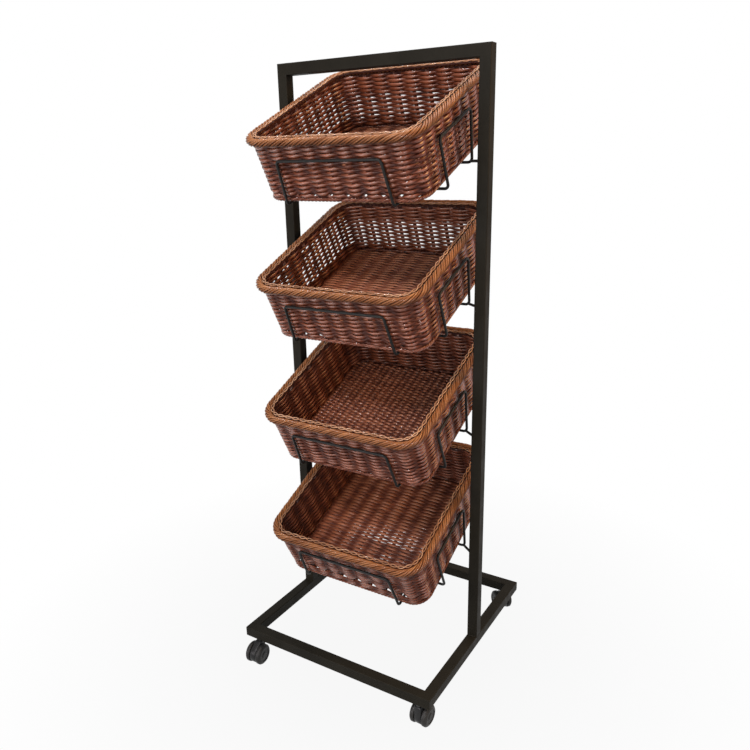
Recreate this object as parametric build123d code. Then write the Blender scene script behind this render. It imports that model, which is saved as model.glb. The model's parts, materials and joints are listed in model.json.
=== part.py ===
from build123d import *
from math import cos, pi, radians, sin, tan
import os

# Rolling basket display stand. A square-tube frame on four twin-wheel casters carries
# forward-tilted wicker baskets, each lying loose in a cradle of bent wire between the two posts.
# Millimetres, +Z up, front towards -Y, origin on the floor under the middle of the base.

# Tube frame
tube = 25.4  # outside of the square tube
tube_wall = 1.6
tube_corner = 2.0  # outside corner radius of the tube
tube_flat_count = 2  # flats that make the tube's corners round
base_width = 520.0  # left to right, over the side rails
base_depth = 523.0  # front to back, over the front and rear rails
post_height = 1330.0  # top of the base to the top of the frame

# Casters
wheel_diameter = 50.0
wheel_width = 13.0
wheel_shoulder_width = 5.0  # slope of the wheel's outer side, along the axle
wheel_shoulder_height = 6.0  # the same slope, across the axle
wheel_cap_wall = 3.0  # closed outer end of the wheel's bore
round_flat_count = 20  # flats that make wheels, axles and shanks round
caster_headroom = 14.0  # top of the wheels to the underside of the base
caster_inset = 32.0  # outer face of a side rail to the swivel axis
caster_trail = 13.0  # swivel axis to the axle
housing_width = 18.0  # the swivelling housing between the two wheels
housing_radius = 19.0  # rounded end of the housing about the axle
housing_boss = 19.0  # length of the housing's upright block about the stem
housing_edge = 1.0  # bevel along the housing's side edges
axle_diameter = 6.0
stem_diameter = 9.5  # shank that is held in the base
hex_side_count = 6  # sides of collars and nuts
collar_diameter = 16.0  # collar of the stem under the base, over its corners
collar_height = 8.0
pivot_diameter = 8.0  # lower end of the stem, which the housing turns on
pivot_length = 24.0
socket_diameter = 16.0  # nut welded inside the rail, over its corners
socket_height = 14.0
swivel_gap = 0.3  # housing to collar, and below the pivot's tip
wheel_gap = 0.5  # wheel to housing, and axle end to wheel cap
running_fit = 0.05  # radial clearance of the pivot and the wheels

# Swivel angle of each caster at rest, in degrees: at 0 the wheels trail straight back
caster_angles = {"front_left": 183.0, "front_right": -3.0, "rear_left": -3.0, "rear_right": 50.0}

# Tiers
tier_count = 4
tier_pitch = 298.5
basket_tilt = 24.0  # degrees, front edge down
top_seat_drop = 214.0  # top of the frame to the seat of the highest basket
seat_offset = 17.1  # middle of a seat, behind the posts' middle plane

# Baskets
post_gap = 23.6  # rim of a basket to a post
basket_depth = 416.0  # over the rim, along the slope
rim_width = 24.0  # rolled border, across
rim_height = 18.0
rim_bevel = 5.0
rim_overhang = 13.4  # rim beyond the wall below it
rim_corner = 60.0  # outside corner radius of the rim
wall_height = 123.0  # underside of the basket to the underside of the rim
wall_thickness = 4.4  # where the weavers cross, between the stakes
floor_thickness = 6.0
wall_taper = 5.0  # drawing-in of each wall from mouth to floor
floor_bevel = 5.0  # bevel along the bottom edge
corner_flat_count = 4  # flats that make each corner round
stake_count = 36  # upright stakes round a basket
swelling_width = 26.0  # swelling of the weave over a stake, along the wall
swelling_height = 2.4  # the same swelling, out of each face of the wall
foot_height = 12.0  # plain foot below the swellings
head_height = 6.0  # plain band above them, under the rim

# Wire cradles
wire = 6.0
wire_flat_count = 8  # flats that make the wire round
bend_radius = 9.0  # centre line of every bend
bend_flat_count = 2  # straight lengths in every bend
seat_gap = 0.3  # basket to the wires below it
weld_gap = 0.1  # between crossing wires
guard_height = 93.0  # seat to the centre line of each guard's top bar
front_guard_gap = 0.5  # swellings to the front guard's top bar
front_guard_top = 248.0  # between the upper corners of the front guard
front_guard_foot = 259.0  # between its feet
side_guard_gap = 3.5  # swellings to a side guard's top bar
front_run = -110.0  # cross run in front, measured up the slope from the seat's middle
rear_run = 9.0  # cross run behind
rear_lean = 18.0  # degrees, rear leg of a side guard leaning back
runner_tail = 15.0  # end of a front guard's runner past the rear cross run
stay_shift = 3.0  # stay's end on the post, behind the post's middle plane

# Sizes that follow from the ones above
axle_height = wheel_diameter / 2
base_underside = wheel_diameter + caster_headroom
base_top = base_underside + tube
frame_top = base_top + post_height
post_inner_face = base_width / 2 - tube
caster_x = base_width / 2 - caster_inset
caster_y = base_depth / 2 - tube / 2
collar_bottom = base_underside - collar_height
housing_top = collar_bottom - swivel_gap
basket_width = 2 * (post_inner_face - post_gap)
mouth_width = basket_width - 2 * rim_overhang
mouth_depth = basket_depth - 2 * rim_overhang
mouth_corner = rim_corner - rim_overhang
guard_offset = swelling_height + wire / 2 - wall_taper * (1 - guard_height / wall_height)
front_guard_place = -(mouth_depth / 2 + guard_offset + front_guard_gap)
side_guard_place = mouth_width / 2 + guard_offset + side_guard_gap
runner_level = -(seat_gap + wire / 2)
run_level = runner_level - wire - weld_gap


def tube_length(length):
    """Straight square tube along Z, its section centred on the axis."""
    bore = tube - 2 * tube_wall
    section = rounded_outline(tube, tube, tube_corner, tube_flat_count) - Rectangle(bore, bore)
    return extrude(section, length)


def mitred_tube(length, square_start=False):
    """Tube along Z with 45 degree ends, its short side towards +X; one end may be square."""
    half = tube / 2
    start = 0 if square_start else tube
    outline = Polyline((-half, 0), (-half, length), (half, length - tube), (half, start), close=True)
    keep = extrude(Plane.XZ * make_face(outline), tube, both=True)
    return tube_length(length) & keep


def stem_hole(x, y):
    """Cutter for a caster stem's hole in the lower wall of a rail."""
    radius = stem_diameter / 2 + running_fit
    return Pos(x, y) * round_bar(radius, base_underside - tube_wall, base_underside + 2 * tube_wall)


def base_rail(origin, inward, along, length):
    """Mitred rail of the base, drilled for the casters that stand under it."""
    level = base_underside + tube / 2
    place = Plane(origin=(*origin, level), x_dir=inward, z_dir=along)
    rail = place * mitred_tube(length)
    for x, y in caster_places().values():
        rail -= stem_hole(x, y)
    return rail


def caster_places():
    """Swivel axes of the casters, by corner, as (x, y)."""
    return {
        "front_left": (-caster_x, -caster_y),
        "front_right": (caster_x, -caster_y),
        "rear_left": (-caster_x, caster_y),
        "rear_right": (caster_x, caster_y),
    }


def frame_nodes():
    """Base rectangle, two posts standing on its side rails, and the bar across the top."""
    side, end, half = base_width / 2, base_depth / 2, tube / 2
    left_foot = Plane(origin=(half - side, 0, base_top), x_dir=(1, 0, 0))
    right_foot = Plane(origin=(side - half, 0, base_top), x_dir=(-1, 0, 0))
    bar_start = Plane(origin=(-side, 0, frame_top - half), x_dir=(0, 0, -1), z_dir=(1, 0, 0))
    return {
        "base_front_rail": base_rail((-side, half - end), (0, 1, 0), (1, 0, 0), base_width),
        "base_rear_rail": base_rail((side, end - half), (0, -1, 0), (-1, 0, 0), base_width),
        "base_left_rail": base_rail((half - side, end), (1, 0, 0), (0, -1, 0), base_depth),
        "base_right_rail": base_rail((side - half, -end), (-1, 0, 0), (0, 1, 0), base_depth),
        "left_post": left_foot * mitred_tube(post_height, square_start=True),
        "right_post": right_foot * mitred_tube(post_height, square_start=True),
        "top_bar": bar_start * mitred_tube(base_width),
    }


def upright(radius, bottom, top):
    """Cylinder about Z between two heights."""
    return Pos(0, 0, bottom) * Cylinder(radius, top - bottom, align=(Align.CENTER, Align.CENTER, Align.MIN))


def round_bar(radius, bottom, top, flat_count=round_flat_count):
    """Bar about Z between two heights, round by its many flats, whose corners lie on the radius."""
    return extrude(Pos(0, 0, bottom) * RegularPolygon(radius, flat_count), top - bottom)


def caster_stem():
    """Fixed stem about Z: shank in the socket, collar under the rail, pivot below."""
    shank_top = base_underside + tube_wall + socket_height
    shank = round_bar(stem_diameter / 2, base_underside, shank_top)
    collar = round_bar(collar_diameter / 2, collar_bottom, base_underside, hex_side_count)
    pivot = upright(pivot_diameter / 2, collar_bottom - pivot_length, collar_bottom)
    return shank + collar + pivot


def caster_socket():
    """Nut standing on the lower wall inside a rail, round the stem's shank."""
    bottom = base_underside + tube_wall
    nut = round_bar(socket_diameter / 2, bottom, bottom + socket_height, hex_side_count)
    return nut - round_bar(stem_diameter / 2 + running_fit, bottom, bottom + socket_height)


def caster_housing():
    """Swivelling housing: upright block about the stem, drawn back round the axle."""
    block = Pos(0, (housing_top + axle_height) / 2) * Rectangle(housing_boss, housing_top - axle_height)
    eye = Pos(caster_trail, axle_height) * RegularPolygon(housing_radius, round_flat_count)
    profile = make_hull(block.edges() + eye.edges())
    body = extrude(Plane.YZ * profile, housing_width / 2, both=True)
    sides = body.faces().filter_by(Axis.X)
    body = chamfer(sides.edges(), housing_edge)
    pivot_tip = collar_bottom - pivot_length
    body -= upright(pivot_diameter / 2 + running_fit, pivot_tip - swivel_gap, housing_top)
    return body - caster_axle()


def caster_axle():
    """Pin across the housing, its ends inside the two wheels."""
    end = housing_width / 2 + wheel_gap + wheel_width - wheel_cap_wall - wheel_gap
    return Pos(0, caster_trail, axle_height) * Rot(0, 90, 0) * round_bar(axle_diameter / 2, -end, end)


def caster_wheel(side):
    """One wheel, with a blind bore and a sloped outer side; side is 1 for +X and -1 for -X."""
    inner = housing_width / 2 + wheel_gap
    disc = Plane.YZ.offset(inner) * RegularPolygon(wheel_diameter / 2, round_flat_count)
    wheel = extrude(disc, wheel_width)
    outer_side = wheel.faces().sort_by(Axis.X)[-1]
    wheel = chamfer(outer_side.edges(), wheel_shoulder_height, wheel_shoulder_width, reference=outer_side)
    bore_end = inner + wheel_width - wheel_cap_wall
    wheel -= extrude(Plane.YZ * Circle(axle_diameter / 2 + running_fit), bore_end)
    if side < 0:
        wheel = mirror(wheel, Plane.YZ)
    return Pos(0, caster_trail, axle_height) * wheel


def caster_nodes():
    """All casters: stems and sockets as groups, and each housing, axle and wheel by itself."""
    nodes = {}
    stems, sockets = [], []
    for corner, (x, y) in caster_places().items():
        place = Pos(x, y, 0) * Rot(0, 0, caster_angles[corner])
        stems.append(Pos(x, y, 0) * caster_stem())
        sockets.append(Pos(x, y, 0) * caster_socket())
        nodes[f"caster_{corner}_housing"] = place * caster_housing()
        nodes[f"caster_{corner}_axle"] = place * caster_axle()
        nodes[f"caster_{corner}_wheel_right"] = place * caster_wheel(1)
        nodes[f"caster_{corner}_wheel_left"] = place * caster_wheel(-1)
    nodes["caster_stems"] = Compound(children=stems)
    nodes["caster_sockets"] = Compound(children=sockets)
    return nodes


def seat_plane(tier):
    """Plane of a basket's underside, x to the right and y up the slope; tier 1 is the highest."""
    slope = radians(basket_tilt)
    height = frame_top - top_seat_drop - (tier - 1) * tier_pitch
    return Plane(origin=(0, seat_offset, height), x_dir=(1, 0, 0), z_dir=(0, -sin(slope), cos(slope)))


def rounded_outline(width, depth, corner, flat_count):
    """Rectangle whose corners are turned by short flats on a circle."""
    turn = pi / 2 / flat_count
    points = []
    for quarter, (x, y) in enumerate([(1, 1), (-1, 1), (-1, -1), (1, -1)]):
        for step in range(flat_count + 1):
            angle = quarter * pi / 2 + step * turn
            centre = Vector(x * (width / 2 - corner), y * (depth / 2 - corner))
            points.append(centre + corner * Vector(cos(angle), sin(angle)))
    return make_face(Polyline(*points, close=True))


def mouth_outline(shrink):
    """Outline of the walls at the mouth; shrink comes off every side."""
    width, depth = mouth_width - 2 * shrink, mouth_depth - 2 * shrink
    return rounded_outline(width, depth, mouth_corner - shrink, corner_flat_count)


def tapered_tray(shrink, bottom):
    """Solid from a height up to the wall's top, drawn in downwards; shrink comes off every side."""
    outline = mouth_outline(shrink)
    drop = wall_height - bottom
    block = extrude(Pos(0, 0, bottom) * outline, drop + rim_height)
    floor = block.faces().sort_by(Axis.Z)[0]
    tapered = chamfer(floor.edges(), wall_taper * drop / wall_height, drop, reference=floor)
    return split(tapered, Plane.XY.offset(wall_height), keep=Keep.BOTTOM)


def stake_swelling(place, along):
    """Rhombic bar up the slope of the wall, standing out of both its faces; place is at half height."""
    outward = along.cross(Vector(0, 0, 1))
    climb = Vector(0, 0, 1) + outward * (wall_taper / wall_height)
    foot = place + climb * (foot_height - wall_height / 2)
    half_width, half_depth = swelling_width / 2, wall_thickness / 2 + swelling_height
    corners = [(-half_width, 0), (0, -half_depth), (half_width, 0), (0, half_depth)]
    section = make_face(Polyline(*corners, close=True))
    length = climb.length * (wall_height - foot_height - head_height)
    return Plane(origin=foot, x_dir=along, z_dir=climb) * extrude(section, length)


def stake_swellings():
    """Swellings at even steps round the middle of the wall, from the middle of the front."""
    shrink, level = (wall_taper + wall_thickness) / 2, wall_height / 2
    line = (Pos(0, 0, level) * mouth_outline(shrink)).wire()
    front = line.param_at_point((0, shrink - mouth_depth / 2, level))
    places = [(front + stake / stake_count) % 1 for stake in range(stake_count)]
    return [stake_swelling(line @ place, line % place) for place in places]


def basket_body():
    """Walls and floor of a basket, standing on the plane z = 0 and open at the top."""
    outside = tapered_tray(0, 0)
    bottom_edges = outside.faces().sort_by(Axis.Z)[0].edges()
    tray = chamfer(bottom_edges, floor_bevel) - tapered_tray(wall_thickness, floor_thickness)
    return tray + stake_swellings()


def basket_rim():
    """Rolled border lying on the top of the walls."""
    opening_width = basket_width - 2 * rim_width
    opening_depth = basket_depth - 2 * rim_width
    opening = rounded_outline(opening_width, opening_depth, rim_corner - rim_width, corner_flat_count)
    outline = rounded_outline(basket_width, basket_depth, rim_corner, corner_flat_count)
    ring = extrude(outline - opening, rim_height)
    level_edges = ring.faces().filter_by(Axis.Z).edges()
    return Pos(0, 0, wall_height) * chamfer(level_edges, rim_bevel)


def wire_section():
    """Section of the wire, its corners on a circle and its flats level and upright."""
    return RegularPolygon(wire / 2, wire_flat_count, rotation=180 / wire_flat_count)


def bent_wire(points):
    """Wire along straight runs, with every corner turned by short lengths on a bend's circle."""
    rounded = FilletPolyline(*points, radius=bend_radius)
    stops = [rounded @ 0]
    for run in rounded.edges():
        lengths = 1 if run.geom_type == GeomType.LINE else bend_flat_count
        stops.extend(run @ (step / lengths) for step in range(1, lengths + 1))
    path = Polyline(*stops)
    start = Plane(origin=path @ 0, z_dir=path % 0)
    return sweep(start * wire_section(), path=path, transition=Transition.RIGHT)


def front_guard():
    """Loop in front of the basket, its legs turning back under the floor as two runners."""
    top, foot = front_guard_top / 2, front_guard_foot / 2
    tail = rear_run + runner_tail
    return bent_wire(
        [
            (-foot, tail, runner_level),
            (-foot, front_guard_place, runner_level),
            (-top, front_guard_place, guard_height),
            (top, front_guard_place, guard_height),
            (foot, front_guard_place, runner_level),
            (foot, tail, runner_level),
        ]
    )


def right_guard():
    """Loop at the right wall, its legs turning in under the floor as two half cross runs."""
    lean = (guard_height - run_level) * tan(radians(rear_lean))
    return bent_wire(
        [
            (0, front_run, run_level),
            (side_guard_place, front_run, run_level),
            (side_guard_place, front_run, guard_height),
            (side_guard_place, rear_run + lean, guard_height),
            (side_guard_place, rear_run, run_level),
            (0, rear_run, run_level),
        ]
    )


def right_stay(tier):
    """Short wire from the right guard's rear foot to the inner face of the right post."""
    bend_inset = bend_radius * (1 - cos(radians(45)))
    plane = seat_plane(tier)
    start = plane.from_local_coords(Vector(side_guard_place - bend_inset, rear_run, run_level + bend_inset))
    end = Vector(post_inner_face, stay_shift, start.Z)
    way = end - start
    rod = Plane(origin=start, z_dir=way) * extrude(wire_section(), way.length + wire)
    beyond = Pos(post_inner_face + tube / 2, 0, start.Z) * Box(tube, 4 * tube, 4 * wire)
    return rod - beyond - plane * right_guard()


def tier_nodes():
    """Every tier's basket and rim, and the wires of its cradle."""
    nodes = {}
    for tier in range(1, tier_count + 1):
        plane = seat_plane(tier)
        right = plane * right_guard()
        stay = right_stay(tier)
        nodes[f"basket_{tier}_body"] = plane * basket_body()
        nodes[f"basket_{tier}_rim"] = plane * basket_rim()
        nodes[f"front_guard_{tier}"] = plane * front_guard()
        nodes[f"right_guard_{tier}"] = right
        nodes[f"left_guard_{tier}"] = mirror(right, Plane.YZ)
        nodes[f"right_stay_{tier}"] = stay
        nodes[f"left_stay_{tier}"] = mirror(stay, Plane.YZ)
    return nodes


def main():
    os.makedirs("parts", exist_ok=True)
    for node, shape in {**frame_nodes(), **caster_nodes(), **tier_nodes()}.items():
        export_step(shape, f"parts/{node}.step")


main()
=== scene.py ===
"""Looks of a rolling basket display stand.

Powder-coated tube and bent wire carry woven cane baskets on twin-wheel casters. Lengths are metres in the
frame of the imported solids: +X to the right, +Y to the back, +Z up. A basket is worked out flat on its own
seat, as x to the right, v up the slope and n square to the seat, and then tipped into place.
"""

import json
import logging
import math
from dataclasses import dataclass
from enum import Enum
from typing import Any

import bpy
import numpy as np
from mathutils import Matrix, Vector


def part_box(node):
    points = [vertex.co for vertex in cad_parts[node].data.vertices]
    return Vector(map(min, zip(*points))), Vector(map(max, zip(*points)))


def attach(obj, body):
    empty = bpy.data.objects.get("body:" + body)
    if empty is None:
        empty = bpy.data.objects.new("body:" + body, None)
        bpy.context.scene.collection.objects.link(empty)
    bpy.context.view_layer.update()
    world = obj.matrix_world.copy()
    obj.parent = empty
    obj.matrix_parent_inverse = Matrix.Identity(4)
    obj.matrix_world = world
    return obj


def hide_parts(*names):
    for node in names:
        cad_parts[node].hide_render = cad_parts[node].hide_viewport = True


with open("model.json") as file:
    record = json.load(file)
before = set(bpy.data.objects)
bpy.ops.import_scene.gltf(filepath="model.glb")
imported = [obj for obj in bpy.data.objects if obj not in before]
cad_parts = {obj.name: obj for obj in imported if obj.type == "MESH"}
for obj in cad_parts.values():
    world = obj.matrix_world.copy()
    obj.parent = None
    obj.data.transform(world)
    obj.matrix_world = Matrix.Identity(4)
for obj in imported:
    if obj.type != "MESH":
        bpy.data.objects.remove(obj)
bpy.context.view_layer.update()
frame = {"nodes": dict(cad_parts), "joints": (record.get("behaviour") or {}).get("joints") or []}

Array = np.ndarray
Pair = tuple[float, float]
Point = tuple[float, float, float]
Color = tuple[float, float, float]
Item = bpy.types.Object
Material = bpy.types.Material
Socket = bpy.types.NodeSocket

log = logging.getLogger("basket_stand")
TURN = 2.0 * math.pi
UP = np.array([0.0, 0.0, 1.0])
WHITE = (1.0, 1.0, 1.0, 1.0)
# Part of a noise or a shade, from 0 to 1, over which gloss and roughness change.
MIDDLE_SPAN = (0.3, 0.7)


class Slot(Enum):
    """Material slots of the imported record."""

    FRAME = "frame_black"
    WIRE = "wire_black"
    CASTER = "caster_black"
    STEEL = "caster_steel"
    CANE = "wicker_brown"
    RIM = "wicker_rim"


class Side(Enum):
    """Left or right half of the stand, as the sign of x."""

    LEFT = -1
    RIGHT = 1

    @property
    def word(self) -> str:
        """Word for the side in the names of nodes."""
        return self.name.lower()


class Corner(Enum):
    """Corners of the base, as the casters under them are named."""

    FRONT_LEFT = "front_left"
    FRONT_RIGHT = "front_right"
    REAR_LEFT = "rear_left"
    REAR_RIGHT = "rear_right"


class Face(Enum):
    """Walls of a basket, by the way (x, v) that they face."""

    FRONT = (0.0, -1.0)
    BACK = (0.0, 1.0)
    LEFT = (-1.0, 0.0)


def unit(vectors: Array) -> Array:
    """Return vectors scaled to length one along their last axis."""
    return vectors / np.linalg.norm(vectors, axis=-1, keepdims=True)


def shares(count: int) -> Array:
    """Return even places round a ring, as shares from 0 towards 1."""
    return np.arange(count) / count


def angles(count: int) -> Array:
    """Return even places round a ring, as angles."""
    return TURN * np.arange(count) / count


def spread_points(x: Any, y: Any, z: Any) -> Array:
    """Return points whose coordinates are broadcast to one shape."""
    return np.stack(np.broadcast_arrays(x, y, z), axis=-1)


@dataclass(frozen=True)
class Ripple:
    """Smooth waviness that closes on itself: sine waves with whole numbers of periods round a ring."""

    size: float
    orders: tuple[int, ...]

    def lines(self, rng: np.random.Generator, rows: int, fraction: Array) -> Array:
        """Return size times the mean of the sine waves, each row with phases of its own.

        Args:
            rng: seeded source of the phases.
            rows: number of lines.
            fraction: places round the ring, from 0 to 1.

        Returns:
            Array (rows, places).
        """
        phase = rng.uniform(0.0, TURN, (rows, len(self.orders), 1))
        waves = np.sin(TURN * np.array(self.orders)[None, :, None] * fraction[None, None, :] + phase)
        return self.size * waves.mean(axis=1)


def rings_along(
    centre: Array, guide: Array, half_across: Any, half_along: Any, around: int, closed: bool
) -> Array:
    """Carry an ellipse along strands.

    A ring is centre + half_across * cos(t) * N + half_along * sin(t) * B, where T is the path's direction by
    central differences, N is the guide made square to T, and B = T x N.

    Args:
        centre: array (strands, stations, 3).
        guide: direction of the ellipse's first half axis, of the same shape or broadcast to it.
        half_across: half axis along N, a number or an array (strands, stations).
        half_along: half axis along B, likewise.
        around: points in a ring.
        closed: whether the last station joins the first.

    Returns:
        Array (strands, stations, around, 3) that turns so that faces look outwards.
    """
    if closed:
        along = np.roll(centre, -1, axis=1) - np.roll(centre, 1, axis=1)
    else:
        along = np.gradient(centre, axis=1)
    tangent = unit(along)
    guide = np.broadcast_to(guide, centre.shape)
    across = unit(guide - (guide * tangent).sum(-1, keepdims=True) * tangent)
    beside = np.cross(tangent, across)
    angle = angles(around)
    first = np.broadcast_to(np.asarray(half_across, float), centre.shape[:2])[..., None, None]
    second = np.broadcast_to(np.asarray(half_along, float), centre.shape[:2])[..., None, None]
    cosine, sine = np.cos(angle)[:, None], np.sin(angle)[:, None]
    return centre[:, :, None] + first * cosine * across[:, :, None] + second * sine * beside[:, :, None]


def strand_object(name: str, points: Array, closed: bool, tone: Array | None = None) -> Item:
    """Make one object of many strands, each a grid of rings.

    Faces join ring i to ring i + 1 and point j to point j + 1. A closed strand joins its last ring to its
    first, and an open one has a cap at each end. The map "strand" holds metres along a strand and turns
    round it.

    Args:
        name: name of the object.
        points: array (strands, rings, points in a ring, 3).
        closed: whether a strand joins its own start.
        tone: shade of the cane from 0 to 1, an array (strands, rings).

    Returns:
        The object, at the origin.
    """
    strands, rings, around, _ = points.shape
    index = np.arange(strands * rings * around).reshape(strands, rings, around)
    step = np.arange(rings if closed else rings - 1)
    near, far = index[:, step], index[:, (step + 1) % rings]
    quads = np.stack([near, np.roll(near, -1, 2), np.roll(far, -1, 2), far], axis=-1)
    middle = points.mean(axis=2)
    run = np.cumsum(np.linalg.norm(np.roll(middle, -1, axis=1) - middle, axis=-1), axis=1)
    metres = np.concatenate([np.zeros((strands, 1)), run], axis=1)
    start, end = metres[:, step, None], metres[:, step + 1, None]
    turns = np.arange(around + 1) / around
    low, high = turns[:-1], turns[1:]
    edges = [(start, low), (start, high), (end, high), (end, low)]
    corners = np.stack([np.stack(np.broadcast_arrays(*edge), axis=-1) for edge in edges], axis=-2)
    loops, places, sizes = quads.reshape(-1), corners.reshape(-1, 2), np.full(quads.size // 4, 4)
    if not closed:
        caps = np.concatenate([index[:, 0, ::-1], index[:, -1]])
        loops = np.concatenate([loops, caps.reshape(-1)])
        places = np.concatenate([places, np.tile(np.stack([low, low], -1), (len(caps), 1))])
        sizes = np.concatenate([sizes, np.full(len(caps), around)])
    mesh = bpy.data.meshes.new(name)
    mesh.vertices.add(index.size)
    mesh.vertices.foreach_set("co", points.astype(np.float32).reshape(-1))
    mesh.loops.add(len(loops))
    mesh.loops.foreach_set("vertex_index", loops.astype(np.int32))
    mesh.polygons.add(len(sizes))
    mesh.polygons.foreach_set("loop_start", (np.cumsum(sizes) - sizes).astype(np.int32))
    mesh.polygons.foreach_set("use_smooth", np.ones(len(sizes), bool))
    mesh.update(calc_edges=True)
    mesh.uv_layers.new(name="strand").data.foreach_set("uv", places.astype(np.float32).reshape(-1))
    if tone is not None:
        shade = np.broadcast_to(tone[..., None], index.shape).astype(np.float32)
        mesh.attributes.new("tone", "FLOAT", "POINT").data.foreach_set("value", shade.reshape(-1))
    item = bpy.data.objects.new(name, mesh)
    bpy.context.scene.collection.objects.link(item)
    return item


def settle(item: Item, body: str, finish: Material, nodes: tuple[str, ...] = ()) -> None:
    """Give a piece its finish, the body it rides on and the solids it stands for.

    Args:
        item: the finished piece.
        body: body that carries it.
        finish: material of the piece.
        nodes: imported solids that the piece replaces.
    """
    item.data.materials.append(finish)
    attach(item, body)
    if nodes:
        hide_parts(*nodes)
    log.info("%s: %d faces on %s", item.name, len(item.data.polygons), body)


def dress(node: str, finish: Material) -> None:
    """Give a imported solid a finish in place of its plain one."""
    materials = frame["nodes"][node].data.materials
    materials.clear()
    materials.append(finish)
    log.info("%s: finish %s", node, finish.name)


class NodeTree:
    """Shader nodes of a material or of the world."""

    def __init__(self, owner: Material | bpy.types.World) -> None:
        """Start an empty tree."""
        owner.use_nodes = True
        self.owner = owner
        self.tree = owner.node_tree
        self.tree.nodes.clear()

    def node(self, kind: str, inputs: dict[Any, Any] | None = None, **settings: Any) -> bpy.types.Node:
        """Add a node.

        Args:
            kind: type of the node.
            inputs: values of its sockets, or the outputs that they are linked to, by name or number.
            settings: values of its own properties.

        Returns:
            The node.
        """
        node = self.tree.nodes.new(f"ShaderNode{kind}")
        for key, value in settings.items():
            setattr(node, key, value)
        for key, value in (inputs or {}).items():
            if isinstance(value, Socket):
                self.tree.links.new(value, node.inputs[key])
            else:
                node.inputs[key].default_value = value
        return node

    def spread(self, source: Socket, span: Pair, limits: Pair) -> Socket:
        """Return a value that runs between the limits as the source runs over the span."""
        inputs = {"Value": source, "From Min": span[0], "From Max": span[1]}
        return self.node("MapRange", inputs | {"To Min": limits[0], "To Max": limits[1]}).outputs["Result"]


class Shader(NodeTree):
    """Material grown from its surface shader."""

    def __init__(self, name: str, values: dict[str, Any]) -> None:
        """Start a material whose surface shader has the values."""
        super().__init__(bpy.data.materials.new(name))
        self.surface = self.node("BsdfPrincipled", values)
        self.output = self.node("OutputMaterial", {"Surface": self.surface.outputs["BSDF"]})

    def feed(self, into: str, source: Socket) -> None:
        """Link an input of the surface shader."""
        self.tree.links.new(source, self.surface.inputs[into])

    def noise(self, place: Socket, scale: Point, detail: float, rough: float) -> Socket:
        """Noise on coordinates that are stretched first.

        Args:
            place: the coordinates.
            scale: periods per metre, or per turn, along each axis.
            detail: octaves.
            rough: share of the finer octaves.

        Returns:
            The noise, around 0.5.
        """
        mapping = self.node("Mapping", {"Vector": place, "Scale": scale})
        inputs = {"Vector": mapping.outputs["Vector"], "Scale": 1.0, "Detail": detail, "Roughness": rough}
        return self.node("TexNoise", inputs).outputs["Fac"]

    def color(self, source: Socket, stops: tuple[float, ...], colors: tuple[Color, ...]) -> None:
        """Colour the surface along a value, with a colour at each stop."""
        ramp = self.node("ValToRGB", {"Fac": source})
        elements = ramp.color_ramp.elements
        while len(elements) < len(stops):
            elements.new(1.0)
        for element, stop, color in zip(elements, stops, colors):
            element.position = stop
            element.color = (*color, 1.0)
        self.feed("Base Color", ramp.outputs["Color"])

    def bump(self, source: Socket, strength: float, depth: float) -> None:
        """Raise the surface by a value, depth in metres."""
        bump = self.node("Bump", {"Height": source, "Strength": strength, "Distance": depth})
        self.feed("Normal", bump.outputs["Normal"])


@dataclass(frozen=True)
class Coat:
    """Baked or moulded black finish with a fine grain, on Object coordinates."""

    name: str
    deep: Color
    worn: Color
    rough: Pair
    grain: float = 900.0
    specular: float = 0.5
    metallic: float = 0.0
    cloud: Point = (9.0, 9.0, 7.0)
    smear: Point = (40.0, 40.0, 26.0)
    stops: Pair = (0.3, 0.72)
    strength: float = 0.35
    depth: float = 0.00006

    def material(self) -> Material:
        """Return the finish: cloudy colour, uneven gloss and the coat's own fine skin."""
        shader = Shader(self.name, {"Specular IOR Level": self.specular, "Metallic": self.metallic})
        place = shader.node("TexCoord").outputs["Object"]
        cloud = shader.noise(place, self.cloud, detail=5.0, rough=0.6)
        shader.color(cloud, self.stops, (self.deep, self.worn))
        smear = shader.noise(place, self.smear, detail=4.0, rough=0.55)
        shader.feed("Roughness", shader.spread(smear, MIDDLE_SPAN, self.rough))
        skin = shader.noise(place, (self.grain,) * 3, detail=3.0, rough=0.5)
        shader.bump(skin, self.strength, self.depth)
        return shader.owner


@dataclass(frozen=True)
class Cane:
    """Varnished cane: shades from strand to strand, streaks along each and a gloss on its lighter parts."""

    name: str
    dark: Color
    middle: Color
    light: Color
    coat: Pair = (0.0, 1.0)
    specular: float = 0.20
    rough: Pair = (0.26, 0.46)
    coat_rough: float = 0.15
    streak: Point = (38.0, 2.6, 1.0)
    streak_share: float = 0.42
    stops: Point = (0.18, 0.5, 0.82)
    fibre: Point = (60.0, 16.0, 1.0)
    strength: float = 0.3
    depth: float = 0.0002

    def material(self) -> Material:
        """Return the finish, on the strands' own map and shade."""
        shader = Shader(self.name, {"Specular IOR Level": self.specular, "Coat Roughness": self.coat_rough})
        place = shader.node("UVMap", uv_map="strand").outputs["UV"]
        shade = shader.node("Attribute", attribute_name="tone").outputs["Fac"]
        shader.feed("Coat Weight", shader.spread(shade, MIDDLE_SPAN, self.coat))
        streak = shader.noise(place, self.streak, detail=4.0, rough=0.6)
        blend = shader.node("Mix", {"Factor": self.streak_share, "A": shade, "B": streak}, data_type="FLOAT")
        shader.color(blend.outputs["Result"], self.stops, (self.dark, self.middle, self.light))
        shader.feed("Roughness", shader.spread(streak, MIDDLE_SPAN, self.rough))
        fibre = shader.noise(place, self.fibre, detail=3.0, rough=0.6)
        shader.bump(fibre, self.strength, self.depth)
        return shader.owner


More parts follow.
